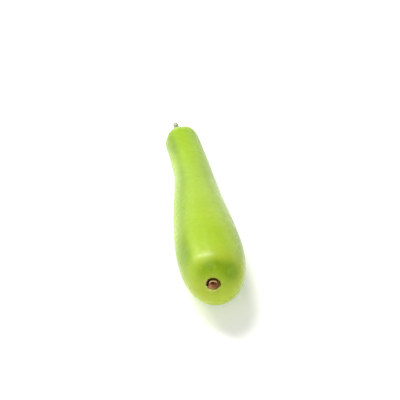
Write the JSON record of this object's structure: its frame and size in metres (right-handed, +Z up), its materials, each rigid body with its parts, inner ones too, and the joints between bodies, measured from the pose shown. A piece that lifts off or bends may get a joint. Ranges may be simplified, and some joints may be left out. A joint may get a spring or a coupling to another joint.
{
  "type": "bottle gourd",
  "caption": "Long, pale green bottle gourd lying on its side, with a rounded belly, a slimmer neck, a short cut stem and a corky blossom scar.",
  "frame": {"origin": "on the ground under the middle of the gourd's footprint, stem included", "axes": "+Z up, +Y from the blossom end towards the stem, as the gourd lies on its belly and neck"},
  "size_m": [0.0898, 0.4168, 0.0919],
  "materials": {
    "skin": "waxy, satin, pale lime green",
    "stem": "dull, ridged, yellowish green",
    "scar": "rough, dry, corky brown"
  },
  "bodies": {
    "root": {"fruit": "skin", "stem": "stem", "blossom_scar": "scar"}
  },
  "joints": []
}
